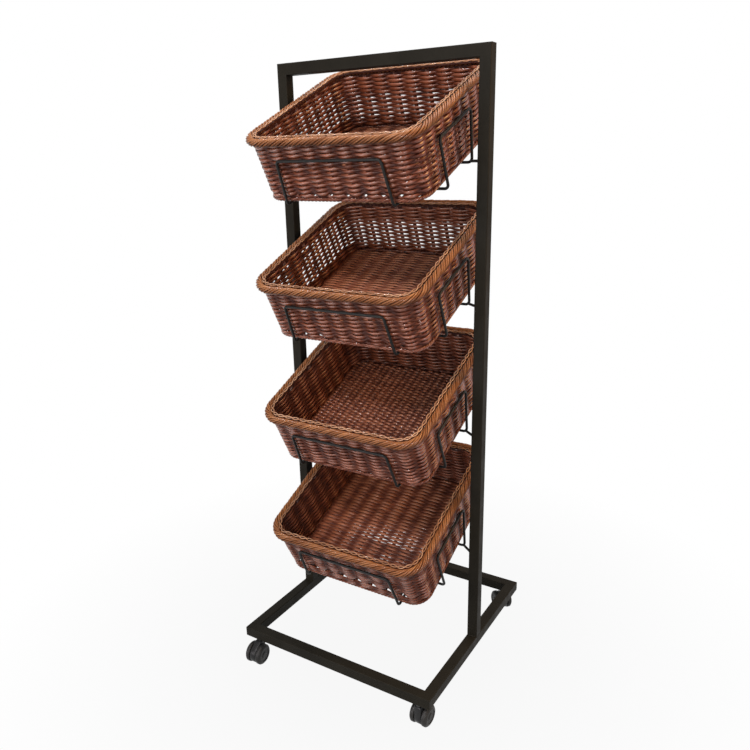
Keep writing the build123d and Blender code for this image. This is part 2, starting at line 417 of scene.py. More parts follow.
@dataclass(frozen=True)
class Finishes:
    """Materials of the whole stand."""

    frame: Material
    wire: Material
    wheel: Material
    housing: Material
    steel: Material
    weaver: Material
    stake: Material
    # Painted shade: dark cane of the bands, sheet and cores that fill gaps between strands.
    inner: Material
    floor: Material
    rim: Material
    stitch: Material

    @classmethod
    def mixed(cls) -> "Finishes":
        """Return every finish of the stand, mixed once."""
        coats = {
            "frame": Coat("frame_powder_coat", (0.0078, 0.0068, 0.0047), (0.0150, 0.0130, 0.0090),
                          (0.42, 0.58), specular=0.065),
            "wire": Coat("wire_powder_coat", (0.0055, 0.0054, 0.0050), (0.0110, 0.0104, 0.0092),
                         (0.36, 0.52), specular=0.2),
            "wheel": Coat("wheel_nylon", (0.008, 0.008, 0.008), (0.024, 0.023, 0.021),
                          (0.34, 0.55), grain=600.0, specular=0.22),
            "housing": Coat("housing_nylon", (0.007, 0.007, 0.007), (0.015, 0.015, 0.015),
                            (0.25, 0.42), grain=700.0, specular=0.2),
            "steel": Coat("blackened_steel", (0.035, 0.035, 0.036), (0.09, 0.088, 0.085),
                          (0.3, 0.45), grain=500.0, metallic=1.0),
        }
        canes = {
            "weaver": Cane("cane_mahogany", (0.042, 0.010, 0.006), (0.120, 0.028, 0.010),
                           (0.225, 0.066, 0.030)),
            "stake": Cane("cane_stake", (0.040, 0.011, 0.008), (0.100, 0.031, 0.020), (0.160, 0.060, 0.036)),
            # Painted shade for the backing bands, the floor sheet and the rim cores.
            "inner": Cane("cane_inner", (0.030, 0.008, 0.006), (0.060, 0.018, 0.011), (0.09, 0.03, 0.018),
                          coat=(0.0, 0.05), specular=0.1),
            "floor": Cane("cane_floor", (0.075, 0.020, 0.011), (0.215, 0.067, 0.032), (0.350, 0.133, 0.066)),
            "rim": Cane("cane_honey", (0.056, 0.016, 0.005), (0.165, 0.054, 0.014), (0.295, 0.117, 0.034),
                        coat=(0.02, 0.45)),
            "stitch": Cane("cane_stitch", (0.100, 0.040, 0.018), (0.270, 0.125, 0.060),
                           (0.420, 0.230, 0.125)),
        }
        return cls(**{piece: finish.material() for piece, finish in (coats | canes).items()})


@dataclass(frozen=True)
class Seat:
    """Tipped seat of one basket."""

    tier: int
    top: float = 1.2054
    pitch: float = 0.2985
    offset: float = 0.0171
    tilt: float = math.radians(24.0)

    @property
    def body(self) -> str:
        """Name of the body that the basket moves as."""
        return f"basket_{self.tier}"

    def place(self, points: Array) -> Array:
        """Turn points (x, v, n) on the seat into the stand's frame.

        Args:
            points: array whose last axis is x, v, n.

        Returns:
            The same array as x, y, z: a turn about X by the tilt, then a shift to the seat.
        """
        x, v, n = np.moveaxis(points, -1, 0)
        cosine, sine = math.cos(self.tilt), math.sin(self.tilt)
        height = self.top - self.pitch * (self.tier - 1)
        return np.stack([x, self.offset + v * cosine - n * sine, height + v * sine + n * cosine], axis=-1)


@dataclass(frozen=True)
class BasketPlan:
    """Outline that walls, foot and rim share: a rectangle set out by a radius that grows with height."""

    half_width: float = 0.151
    half_depth: float = 0.148
    foot_radius: float = 0.044
    mouth_radius: float = 0.049
    wall_height: float = 0.123

    def walk(self, fraction: Array) -> tuple[Array, Array]:
        """Follow the outline anticlockwise from the middle of the front.

        Each side of the rectangle, along which the normal stands still, is followed by a quarter turn, where
        the foot point stands on a corner and the normal turns; lengths are those at half height.

        Args:
            fraction: shares of the whole way round.

        Returns:
            Points of the rectangle and outward normals, arrays (places, 2).
        """
        a, b = self.half_width, self.half_depth
        radius = self.radius(self.wall_height / 2)
        right_angle = math.pi / 2
        lengths = np.tile([2 * a, radius * right_angle, 2 * b, radius * right_angle], 2)
        ends = np.cumsum(lengths)
        travel = np.mod(fraction * ends[-1] + a, ends[-1])
        part = np.minimum(np.searchsorted(ends, travel, side="right"), len(ends) - 1)
        into = travel - (ends - lengths)[part]
        side, turning = np.divmod(part, 2)
        corners = np.array([(-a, -b), (a, -b), (a, b), (-a, b)])
        ways = np.array([(1, 0), (0, 1), (-1, 0), (0, -1)])
        foot = corners[(side + turning) % 4] + ((1 - turning) * into)[:, None] * ways[side]
        angle = (side - 1) * right_angle + turning * into / radius
        return foot, np.stack([np.cos(angle), np.sin(angle)], axis=-1)

    def radius(self, n: Any) -> Any:
        """Return how far the wall's outer face stands out from the rectangle at height n."""
        return self.foot_radius + (self.mouth_radius - self.foot_radius) * n / self.wall_height

    def reach(self, v: Array, radius: float) -> Array:
        """Return half the width of the outline at depth v, for one setting-out radius."""
        over = np.clip(np.abs(v) - self.half_depth, 0.0, radius)
        return self.half_width + np.sqrt(radius**2 - over**2)

    def girth(self) -> float:
        """Return the length of the outline at half height."""
        return 4 * (self.half_width + self.half_depth) + TURN * self.radius(self.wall_height / 2)


@dataclass(frozen=True)
class WeaveStyle:
    """What differs from basket to basket.

    Attributes:
        open_walls: whether light shows between the rows of the walls.
        floor_pitch: distance between the floor's stakes.
        hole_level: height of the small holes at the foot of the front wall.
        hole_spread: how far the rows part there.
        hole_width: reach of the parting, as a share of the way between stakes.
        floor_front: where the floor's close rows end; short of the wall they leave an open border.
        loose_floor: share by which the floor's strands are thinner in a worn patch.
        inside_tone: painted light: how much lighter the floor and the back wall are drawn, for the light that
            falls inside the basket.
    """

    open_walls: bool = True
    floor_pitch: float = 0.041
    hole_level: float = 0.0152
    hole_spread: float = 0.0052
    hole_width: float = 0.14
    floor_front: float = -0.1600
    loose_floor: float = 0.0
    inside_tone: float = 0.0


STYLES = (
    WeaveStyle(),
    # Painted light: this basket's floor and back wall are drawn lighter.
    WeaveStyle(inside_tone=0.34),
    WeaveStyle(open_walls=False, floor_pitch=0.018, hole_level=0.002, hole_spread=0.0, floor_front=-0.1740),
    WeaveStyle(open_walls=False, hole_level=0.0288, hole_spread=0.0115, hole_width=0.24, loose_floor=0.34),
)


@dataclass(frozen=True)
class Shade:
    """How the shade of strands varies, from 0 for dark cane to 1 for light.

    Attributes:
        base: shade where a strand dips, drawn darker there as painted shade.
        between: spread from strand to strand.
        along: spread along a strand.
        crest: painted light: how much lighter a strand is drawn where it stands out, by a power of its wave.
    """

    base: float
    between: float
    along: Ripple | None = None
    crest: float = 0.0
    crest_power: float = 1.5

    def mix(self, rng: np.random.Generator, strands: int, fraction: Array, wave: Any = 0.0) -> Array:
        """Return base + between * u + along + crest * |wave|^power, with u from -1 to 1 for each strand.

        Args:
            rng: seeded source of u and of the ripple's phases.
            strands: number of strands.
            fraction: places along a strand, from 0 to 1.
            wave: how far a strand stands out, an array (strands, places).

        Returns:
            Array (strands, places).
        """
        tone = self.base + self.between * rng.uniform(-1, 1, (strands, 1)) + np.zeros((1, len(fraction)))
        if self.along:
            tone = tone + self.along.lines(rng, strands, fraction)
        return tone + self.crest * np.abs(wave) ** self.crest_power


@dataclass(frozen=True)
class WallSizes:
    """Woven rows, in three groups from the foot up, and the flat dark bands of painted shade that back them.

    An open wall's upper band starts at open_low: its height, and how much higher on the left and on the back.
    Its lower band ends at open_high: its height, and how much lower on the back.
    """

    places: int = 12
    first_row: float = 0.0130
    counts: tuple[int, int, int] = (3, 11, 9)
    pitches: Point = (0.0044, 0.0051, 0.0046)
    swells: Point = (0.0004, 0.0, 0.0006)
    inset: float = 0.0054
    depth: float = 0.0041
    uneven: Ripple = Ripple(0.12, (5, 11, 17))
    sway: Ripple = Ripple(0.00028, (3, 7, 13))
    half: Pair = (0.0019, 0.0027)
    one_side: float = 0.0004
    hole_reach: float = 0.018
    hole_flat: float = 0.9
    flat_width: float = 1.9
    # Painted light: the back wall is drawn this much lighter, for the light that falls on it inside the
    # basket.
    back_tone: float = 0.18
    shade: Shade = Shade(0.09, 0.24, Ripple(0.28, (9, 17, 23)), crest=0.72)
    band_foot: float = 0.004
    band_top: float = 0.132
    band_half: float = 0.0008
    band_margin: float = 0.002
    band_around: int = 10
    open_low: Point = (0.085, 0.030, 0.006)
    open_high: Pair = (0.031, 0.013)


@dataclass(frozen=True)
class StakeSizes:
    """Doubled stakes of the walls, from foot to rim, and of the floor."""

    count: int = 36
    half: Pair = (0.0017, 0.00255)
    stations: int = 9
    span: Pair = (0.0035, 0.1290)
    floor_half_width: float = 0.180
    floor_radius: float = 0.0395
    corner_most: float = 0.038
    shade: Shade = Shade(0.45, 0.35)


@dataclass(frozen=True)
class FloorSizes:
    """Woven rows of the floor, its worn patch and the dark sheet of painted shade that backs its closed part.
    """

    row: float = 0.0050
    level: float = 0.0045
    back: float = 0.1765
    border: float = -0.1800
    radius: float = 0.0355
    depth: float = 0.0024
    uneven: Ripple = Ripple(0.12, (2, 5, 9))
    sway: Ripple = Ripple(0.0003, (2, 3, 5))
    half: Pair = (0.0017, 0.0023)
    detail: float = 3.4
    least_places: int = 10
    most_places: int = 160
    worn_place: Pair = (0.020, -0.060)
    worn_size: Pair = (0.098, 0.045)
    worn_swell: float = 0.0010
    shade: Shade = Shade(0.04, 0.22, Ripple(0.25, (2, 4, 7)), crest=0.86)
    sheet_edge: float = 0.039
    sheet_radius: float = 0.0405
    sheet_level: float = 0.0032
    sheet_half: float = 0.0007
    sheet_stations: int = 40


@dataclass(frozen=True)
class Winding:
    """Strands that wind round a line, which follows the outline with a radius at a level.

    Attributes:
        bundles: groups of strands, spaced evenly round the line.
        places: stations in one turn.
        spoke: how far a strand lies from the line, across and up, with sway as its unevenness.
        half: half axes of a strand's section, which turns with the spoke if turning is set.
        members: places of a group's strands, as shares of the way between groups.
        top_tone: painted light: how much lighter a strand is drawn on top, and darker underneath, as light
            falls from above.
    """

    radius: float
    level: float
    bundles: int
    turns: int
    places: int
    spoke: Pair
    half: Pair
    shade: Shade
    members: tuple[float, ...] = (0.0,)
    around: int = 6
    sway: Ripple | None = None
    top_tone: float = 0.0
    turning: bool = False


FOOT_BORDER = Winding(
    radius=0.0392, level=0.0037, bundles=4, turns=40, places=20,
    spoke=(0.0026, 0.0022), half=(0.0021, 0.0020), shade=Shade(0.45, 0.3, Ripple(0.2, (7, 13))),
)
# Painted light and painted shade: top_tone draws the rope lighter on top and darker underneath.
RIM_ROPE = Winding(
    radius=0.0510, level=0.1320, bundles=4, turns=18, places=26,
    spoke=(0.0067, 0.0066), half=(0.0020, 0.0020), shade=Shade(0.36, 0.14, Ripple(0.22, (6, 13, 21))),
    members=(-0.22, 0.22), around=8, sway=Ripple(0.0005, (11, 19, 31)), top_tone=0.34, turning=True,
)
RIM_STITCH = Winding(
    radius=0.0392, level=0.1385, bundles=2, turns=36, places=16,
    spoke=(0.0030, 0.0008), half=(0.0013, 0.0013), shade=Shade(0.55, 0.15, Ripple(0.3, (9, 17))),
)
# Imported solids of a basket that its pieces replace, by the piece's name.
STANDS_FOR = {"wall_weave": ("body",), "rim_rope": ("rim",)}


@dataclass
class WovenBasket:
    """One cane basket: woven walls on doubled stakes, woven floor, foot border and a roped rim."""

    seat: Seat
    finishes: Finishes
    style: WeaveStyle
    plan: BasketPlan = BasketPlan()
    walls: WallSizes = WallSizes()
    stakes: StakeSizes = StakeSizes()
    floor: FloorSizes = FloorSizes()
    core_across: Pair = (0.0054, 0.0032)
    core_up: Pair = (0.0053, 0.0021)
    core_drop: float = 0.0042
    seed: int = 40
    crest_power: float = 1.3
    crest_swell: float = 0.0008
    # Painted shade: tone of the backing bands, the floor sheet and the rim cores.
    dark: float = 0.1
    around: int = 8
    wide_around: int = 12

    def __post_init__(self) -> None:
        """Seed the unevenness of this basket."""
        self.rng = np.random.default_rng(self.seed + self.seat.tier)

    def build(self) -> None:
        """Weave the whole basket."""
        self.weave_walls()
        self.back_walls()
        self.set_stakes()
        self.weave_floor()
        self.back_floor()
        self.wind("foot_border", FOOT_BORDER, self.finishes.weaver)
        self.wind("rim_rope", RIM_ROPE, self.finishes.rim, Slot.RIM)
        self.fill_rim()
        self.wind("rim_stitch", RIM_STITCH, self.finishes.stitch, Slot.RIM)

    def finish(
        self, name: str, rings: Array, closed: bool, tone: Array, finish: Material, slot: Slot = Slot.CANE
    ) -> None:
        """Tip strands into the seat and settle them as a piece of the basket.

        Args:
            name: what the piece is.
            rings: strands on the flat seat.
            closed: whether they join their own starts.
            tone: shade of each ring.
            finish: material.
            slot: not used.
        """
        body = self.seat.body
        solids = tuple(f"{body}_{solid}" for solid in STANDS_FOR.get(name, ()))
        item = strand_object(f"{body}_{name}", self.seat.place(rings), closed, tone)
        settle(item, body, finish, solids)

    def outline(self, fraction: Array, radius: Any, n: Any) -> tuple[Array, Array]:
        """Points and normals round the basket.

        Args:
            fraction: places round the outline.
            radius: setting-out radius, an array (lines, places) or broadcast to it.
            n: height, likewise.

        Returns:
            Points foot + radius * normal at height n, and the normals, both arrays (lines, places, 3).
        """
        foot, normal = self.plan.walk(fraction)
        radius, n, _ = np.broadcast_arrays(radius, n, fraction[None])
        flat = foot[None] + radius[..., None] * normal[None]
        outward = np.concatenate([normal, np.zeros((len(normal), 1))], axis=-1)
        return np.concatenate([flat, n[..., None]], axis=-1), np.broadcast_to(outward, (*n.shape, 3))

    def facing(self, fraction: Array, face: Face) -> Array:
        """Return how squarely the wall faces a way at each place: the fourth power of the cosine, or 0."""
        return np.clip(self.plan.walk(fraction)[1] @ np.array(face.value), 0.0, 1.0) ** 4

    def parting(self, fraction: Array, width: float) -> Array:
        """Return a bell exp(-(gap / width)^2) midway between the front wall's stakes, and 0 on the others."""
        gap = np.mod(self.stakes.count * fraction, 1.0) - 0.5
        return np.exp(-((gap / width) ** 2)) * self.facing(fraction, Face.FRONT)

    def wave(self, phase: Array) -> Array:
        """Return sign(c) |c|^power for c = cos(pi phase): strands pass over one stake and under the next."""
        turn = np.cos(math.pi * phase)
        return np.sign(turn) * np.abs(turn) ** self.crest_power

    def weave_walls(self) -> None:
        """Weave the walls in closed rows.

        A row's offset from the wall's middle is depth * wave(place + row), with place counted in stakes: it
        passes outside one stake and inside the next, and the next row goes the other way round. A strand
        swells over a stake and is fuller on one side of it, by sin(turn * place). At the foot of the front
        the rows part between the stakes by spread * exp(-(gap / width)^2) * exp(-distance / reach), which
        leaves small holes, and run flatter round them.
        """
        sizes, style, stakes = self.walls, self.style, self.stakes.count
        fraction = shares(stakes * sizes.places)
        pitches = np.repeat(sizes.pitches, sizes.counts)
        level = (sizes.first_row + np.concatenate([[0.0], np.cumsum(pitches)]))[:, None]
        swell = np.repeat(sizes.swells, (sizes.counts[0] + 1, *sizes.counts[1:]))[:, None]
        rows = len(level)
        wave = self.wave(stakes * fraction[None] + np.arange(rows)[:, None])
        depth = sizes.depth * (1.0 + sizes.uneven.lines(self.rng, rows, fraction))
        away = level - style.hole_level
        near = np.exp(-np.abs(away) / sizes.hole_reach)
        push = style.hole_spread * np.sign(away) * near * self.parting(fraction, style.hole_width)
        flat = 1.0 - sizes.hole_flat * near * self.parting(fraction, sizes.flat_width * style.hole_width)
        n = level + push + sizes.sway.lines(self.rng, rows, fraction)
        radius = self.plan.radius(n) - sizes.inset + depth * wave * flat
        centre, outward = self.outline(fraction, radius, n)
        swell = swell * (1.0 - self.facing(fraction, Face.LEFT))
        lean = sizes.one_side * np.sin(TURN * stakes * fraction)
        height = sizes.half[1] + swell + self.crest_swell * np.abs(wave) + lean
        rings = rings_along(centre, outward, sizes.half[0], height, self.around, True)
        # Painted shade and painted light: strands are drawn darker where they dip between stakes and lighter
        # where they stand out.
        tone = sizes.shade.mix(self.rng, rows, fraction, wave)
        # Painted light: the back wall is drawn lighter, more so on a basket with an inside_tone.
        tone = tone + (sizes.back_tone + style.inside_tone) * self.facing(fraction, Face.BACK)
        self.finish("wall_weave", rings, True, tone, self.finishes.weaver)

    def back_walls(self) -> None:
        """Back the tight parts of the weave with painted shade: flat dark bands, thin ellipses in the wall's
        middle.

        Tight walls are backed all the way up. Open ones are backed at the foot and under the rim, less far
        down on the left. At the front the lower edge rises over each hole.
        """
        sizes, style = self.walls, self.style
        fraction = shares(self.stakes.count * sizes.places)
        above = style.hole_level + style.hole_spread + sizes.band_margin
        foot = sizes.band_foot + (above - sizes.band_foot) * self.parting(fraction, style.hole_width)
        top = np.full(len(fraction), sizes.band_top)
        low, high = foot[None], top[None]
        if style.open_walls:
            left, back = self.facing(fraction, Face.LEFT), self.facing(fraction, Face.BACK)
            start, on_left, on_back = sizes.open_low
            low = np.stack([foot, start + on_left * left + on_back * back])
            high = np.stack([sizes.open_high[0] - sizes.open_high[1] * back, top])
        middle, half = (low + high) / 2, (high - low) / 2
        angle = angles(sizes.band_around)
        n = middle[..., None] - half[..., None] * np.sin(angle)
        radius = self.plan.radius(n) - sizes.inset + sizes.band_half * np.cos(angle)
        corner, normal = self.plan.walk(fraction)
        flat = corner[:, None] + radius[..., None] * normal[:, None]
        rings = np.concatenate([flat, n[..., None]], axis=-1)
        self.finish("wall_backing", rings, True, np.full(middle.shape, self.dark), self.finishes.inner)

    def set_stakes(self) -> None:
        """Set the doubled stakes of the walls and of the floor, straight rods of oval section."""
        sizes, pitch = self.stakes, self.style.floor_pitch
        pair = np.array([-1.0, 1.0]) * sizes.half[1]
        fraction = (shares(sizes.count)[:, None] + pair / self.plan.girth()).reshape(-1)
        n = np.linspace(*sizes.span, sizes.stations)[:, None]
        wall, outward = self.outline(fraction, self.plan.radius(n) - self.walls.inset, n)
        count = int(sizes.floor_half_width / pitch)
        x = (np.arange(-count, count + 1)[:, None] * pitch + pair).reshape(-1)
        over = np.clip(np.abs(x) - self.plan.half_width, 0.0, sizes.corner_most)
        reach = self.plan.half_depth + np.sqrt(sizes.floor_radius**2 - over**2)
        v = np.linspace(-1.0, 1.0, sizes.stations) * reach[:, None]
        floor = spread_points(x[:, None], v, self.floor.level)
        rods = {"wall": (np.swapaxes(wall, 0, 1), np.swapaxes(outward, 0, 1)), "floor": (floor, UP)}
        for where, (centre, guide) in rods.items():
            rings = rings_along(centre, guide, *sizes.half, self.around, False)
            tone = sizes.shade.mix(self.rng, len(centre), shares(sizes.stations))
            self.finish(f"{where}_stakes", rings, False, tone, self.finishes.stake)

    def weave_floor(self) -> None:
        """Weave the floor in rows from left to right, over and under its stakes by the walls' own wave.

        The close rows may end short of the front wall: a single strand then runs along that open border. A
        worn patch is a bell round a place in the front half, where strands are thinner.
        """
        sizes, style = self.floor, self.style
        close = int((sizes.back - style.floor_front) / sizes.row) + 1
        v = np.append(sizes.back - np.arange(close) * sizes.row, sizes.border)[:, None]
        count = len(v)
        detail = min(int(sizes.detail / style.floor_pitch) + sizes.least_places, sizes.most_places)
        share = np.linspace(-1.0, 1.0, detail)
        places = (share + 1.0) / 2.0
        x = share[None] * self.plan.reach(v, sizes.radius)
        wave = self.wave(x / style.floor_pitch + np.arange(count)[:, None])
        depth = sizes.depth * (1.0 + sizes.uneven.lines(self.rng, count, places))
        sway = sizes.sway.lines(self.rng, count, places)
        centre = spread_points(x, v + sway, sizes.level + depth * wave)
        across = (x - sizes.worn_place[0]) / sizes.worn_size[0]
        along = (v - sizes.worn_place[1]) / sizes.worn_size[1]
        thinner = 1.0 - style.loose_floor * np.exp(-(across**2) - along**2)
        snug = sizes.worn_swell if style.loose_floor else 0.0
        height = (sizes.half[1] + snug + self.crest_swell * np.abs(wave)) * thinner
        rings = rings_along(centre, UP, sizes.half[0], height, self.around, False)
        # Painted light: the whole floor is drawn lighter by the basket's inside_tone.
        # Painted shade and painted light: floor strands are drawn darker where they dip and lighter where
        # they stand out.
        tone = sizes.shade.mix(self.rng, count, places, wave) + style.inside_tone
        self.finish("floor_weave", rings, False, tone, self.finishes.floor)

    def back_floor(self) -> None:
        """Back the floor with a thin dark sheet of painted shade, which ends short of the open border or the
        worn patch.
        """
        sizes = self.floor
        start = 0.0 if self.style.loose_floor else self.style.floor_front
        v = np.linspace(start, self.plan.half_depth + sizes.sheet_edge, sizes.sheet_stations)[None]
        half = self.plan.reach(v, sizes.sheet_radius)
        line = spread_points(0.0, v, sizes.sheet_level)
        sheet = rings_along(line, UP, sizes.sheet_half, half, self.wide_around, False)
        self.finish("floor_backing", sheet, False, np.full(v.shape, self.dark), self.finishes.inner)

    def wind(self, name: str, winding: Winding, finish: Material, slot: Slot = Slot.CANE) -> None:
        """Wind strands round a line: a twist, a rope or a loose stitch.

        A strand's angle is 2 pi (turns * fraction + phase), and its spoke is (a cos, b sin) across and up.

        Args:
            name: what the piece is.
            winding: its sizes.
            finish: material.
            slot: material slot of the record.
        """
        fraction = shares(winding.turns * winding.places)
        bundle = np.arange(winding.bundles)[:, None]
        phase = ((bundle + np.array(winding.members)) / winding.bundles).reshape(-1, 1)
        strands = len(phase)
        angle = TURN * (winding.turns * fraction[None] + phase)
        line, outward = self.outline(fraction, np.full((strands, 1), winding.radius), winding.level)
        sway = winding.sway.lines(self.rng, strands, fraction) if winding.sway else 0.0
        across, up = winding.spoke[0] + sway, winding.spoke[1] + sway
        spoke = (across * np.cos(angle))[..., None] * outward + (up * np.sin(angle))[..., None] * UP
        guide = spoke if winding.turning else outward
        rings = rings_along(line + spoke, guide, *winding.half, winding.around, True)
        # Painted light and painted shade: strands are drawn lighter on top of the line and darker underneath.
        tone = winding.shade.mix(self.rng, strands, fraction) + winding.top_tone * np.sin(angle)
        self.finish(name, rings, True, tone, finish, slot)

    def fill_rim(self) -> None:
        """Fill the rope with a dark oval core, and lay another under the stitch: painted shade seen between
        strands.
        """
        fraction = shares(RIM_ROPE.turns * RIM_ROPE.places)
        radius = np.array([[RIM_ROPE.radius], [RIM_STITCH.radius]])
        level = np.array([[RIM_ROPE.level], [RIM_STITCH.level - self.core_drop]])
        line, outward = self.outline(fraction, radius, level)
        across, up = np.array(self.core_across)[:, None], np.array(self.core_up)[:, None]
        core = rings_along(line, outward, across, up, self.wide_around, True)
        self.finish("rim_core", core, True, np.full(line.shape[:2], self.dark), self.finishes.inner)


@dataclass
class WireCradle:
    """Bent wires that hold one basket: a front guard, two side guards and the stays to the posts."""

    seat: Seat
    finishes: Finishes
    wire: float = 0.006
    wire_around: int = 16
    wire_guide: Point = (0.62, 0.55, 0.56)
    bend: float = 0.009
    bend_places: int = 9
    guard_height: float = 0.093
    front_place: float = -0.19928
    front_top: float = 0.124
    front_foot: float = 0.1295
    runner_level: float = -0.0033
    runner_tail: float = 0.024
    side_place: float = 0.20528
    run_level: float = -0.0094
    front_run: float = -0.110
    rear_run: float = 0.009
    rear_lean: float = math.radians(18.0)
    post_face: float = 0.2346
    stay_shift: float = 0.003
    stay_start: float = 0.03
    stay_places: int = 6
    bead_half: float = 0.0048
    bead_end: float = 0.985
    bead_places: int = 9
    bead_around: int = 12
    bead_guide: Point = (0.1, 0.2, 1.0)
    crossing_bead: float = 0.0032
    crossing_way: Point = (1.0, 0.35, 0.1)
    post_bead: float = 0.0040
    post_way: Point = (0.0, 1.0, 0.15)
    post_gap: float = 0.0012

    def build(self) -> None:
        """Bend every wire of the cradle and lay its welds."""
        self.wire_piece("front_guard", self.front_guard())
        for side in Side:
            self.wire_piece(f"{side.word}_guard", self.side_guard(side))
            self.wire_piece(f"{side.word}_stay", self.stay(side))
        self.welds()

    def bent(self, corners: Array) -> Array:
        """Follow straight runs with a round bend at each corner.

        At a corner the path leaves the run at radius * tan(half the turn) before it and follows the circle
        that touches both runs: centre - radius * (cos, sin) over the turn.

        Args:
            corners: array (corners, 3) of the runs' ends.

        Returns:
            Points along the wire, array (places, 3).
        """
        before, at, after = corners[:-2], corners[1:-1], corners[2:]
        come, leave = unit(at - before), unit(after - at)
        turn = np.arccos(np.clip((come * leave).sum(-1), -1.0, 1.0))[:, None, None]
        inward, forward = unit(leave - come), unit(come + leave)
        centre = at + inward * self.bend / np.cos(turn[:, 0] / 2)
        sweep = np.linspace(-0.5, 0.5, self.bend_places)[None, :, None] * turn
        circle = np.cos(sweep) * inward[:, None] - np.sin(sweep) * forward[:, None]
        arcs = centre[:, None] - self.bend * circle
        return np.concatenate([corners[:1], arcs.reshape(-1, 3), corners[-1:]])

    def wire_piece(self, kind: str, path: Array) -> None:
        """Carry the wire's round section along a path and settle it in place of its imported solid.

        Args:
            kind: which wire of the cradle it is.
            path: points along the wire in the stand's frame, array (places, 3).
        """
        node = f"{kind}_{self.seat.tier}"
        guide = unit(np.array(self.wire_guide))
        rings = rings_along(path[None], guide, self.wire / 2, self.wire / 2, self.wire_around, False)
        item = strand_object(f"{node}_wire", rings, False)
        settle(item, "stand", self.finishes.wire, (node,))

    def front_guard(self) -> Array:
        """Return the path of the loop in front of the basket, with its two runners under the floor."""
        top, foot, place = self.front_top, self.front_foot, self.front_place
        half = [
            (foot, self.runner_tail, self.runner_level),
            (foot, place, self.runner_level),
            (top, place, self.guard_height),
        ]
        corners = [(-x, v, n) for x, v, n in half] + half[::-1]
        return self.seat.place(self.bent(np.array(corners)))

    def side_guard(self, side: Side) -> Array:
        """Return the path of the loop beside the basket, with its two half cross runs under the floor."""
        lean = (self.guard_height - self.run_level) * math.tan(self.rear_lean)
        out = self.side_place * side.value
        corners = [
            (0.0, self.front_run, self.run_level),
            (out, self.front_run, self.run_level),
            (out, self.front_run, self.guard_height),
            (out, self.rear_run + lean, self.guard_height),
            (out, self.rear_run, self.run_level),
            (0.0, self.rear_run, self.run_level),
        ]
        return self.seat.place(self.bent(np.array(corners)))

    def stay_ends(self, side: Side) -> Array:
        """Return the two ends of a stay, from the guard's rear bend to the post's face, array (2, 3)."""
        inset = self.bend * (1.0 - math.cos(math.pi / 4))
        bend = ((self.side_place - inset) * side.value, self.rear_run, self.run_level + inset)
        start = self.seat.place(np.array(bend))
        end = np.array([self.post_face * side.value, self.stay_shift, start[2]])
        return np.stack([start, end])

    def stay(self, side: Side) -> Array:
        """Return the path of the short wire that carries the cradle on a post, from inside the bend."""
        start, end = self.stay_ends(side)
        return start + np.linspace(self.stay_start, 1.0, self.stay_places)[:, None] * (end - start)

    def welds(self) -> None:
        """Lay weld beads where runners cross the runs and where stays meet the posts.

        A bead is a tube along a short line whose radius is r * sqrt(1 - s^2), with s from -1 to 1 along it.
        """
        between = (self.runner_level + self.run_level) / 2
        sides, runs = (-self.front_foot, self.front_foot), (self.front_run, self.rear_run)
        crossings = self.seat.place(np.array([(x, v, between) for x in sides for v in runs]))
        posts = np.stack([self.stay_ends(side)[1] for side in Side])
        posts[:, 0] -= np.sign(posts[:, 0]) * self.post_gap
        counts = (len(crossings), len(posts))
        ways = unit(np.repeat([self.crossing_way, self.post_way], counts, axis=0))
        sizes = np.repeat([self.crossing_bead, self.post_bead], counts)
        share = np.linspace(-self.bead_end, self.bead_end, self.bead_places)
        spots = np.concatenate([crossings, posts])
        lines = spots[:, None] + self.bead_half * share[None, :, None] * ways[:, None]
        radius = np.sqrt(1.0 - share**2)[None] * sizes[:, None]
        rings = rings_along(lines, np.array(self.bead_guide), radius, radius, self.bead_around, False)
        item = strand_object(f"cradle_welds_{self.seat.tier}", rings, False)
        settle(item, "stand", self.finishes.wire)


@dataclass
class TubeFrame:
    """Welded tube frame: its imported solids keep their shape, and beads of weld lie at the posts' feet."""

    finishes: Finishes
    nodes: tuple[str, ...] = (
        "base_front_rail",
        "base_rear_rail",
        "base_left_rail",
        "base_right_rail",
        "left_post",
        "right_post",
        "top_bar",
    )
    tube: float = 0.0254
    bead: float = 0.0022
    bead_inset: float = 0.003
    bead_places: int = 61
    bead_around: int = 12
    ripple_depth: float = 0.12
    ripple_waves: float = 34.0
    end_taper: float = 0.7

    def build(self) -> None:
        """Coat the tubes and lay the welds."""
        for node in self.nodes:
            dress(node, self.finishes.frame)
        self.foot_welds()

    def foot_welds(self) -> None:
        """Lay a rippled bead in the corner between each post's foot and its rail, before and behind the post.

        A bead runs along X, and its radius is r * (1 - taper * s^8) * (1 + depth * sin(waves * s)), with s
        from -1 to 1 along it.
        """
        share = np.linspace(-1.0, 1.0, self.bead_places)
        swell = 1.0 + self.ripple_depth * np.sin(share * self.ripple_waves)
        swell = (1.0 - share**8 * self.end_taper) * swell
        lines = []
        for side in Side:
            low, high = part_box(f"{side.word}_post")
            x = (low.x + high.x) / 2 + share * (self.tube / 2 - self.bead_inset)
            lines += [spread_points(x, y, low.z) for y in (low.y, high.y)]
        radius = np.broadcast_to(self.bead * swell, (len(lines), len(share)))
        rings = rings_along(np.array(lines), UP, radius, radius, self.bead_around, False)
        settle(strand_object("post_foot_welds", rings, False), "stand", self.finishes.frame)


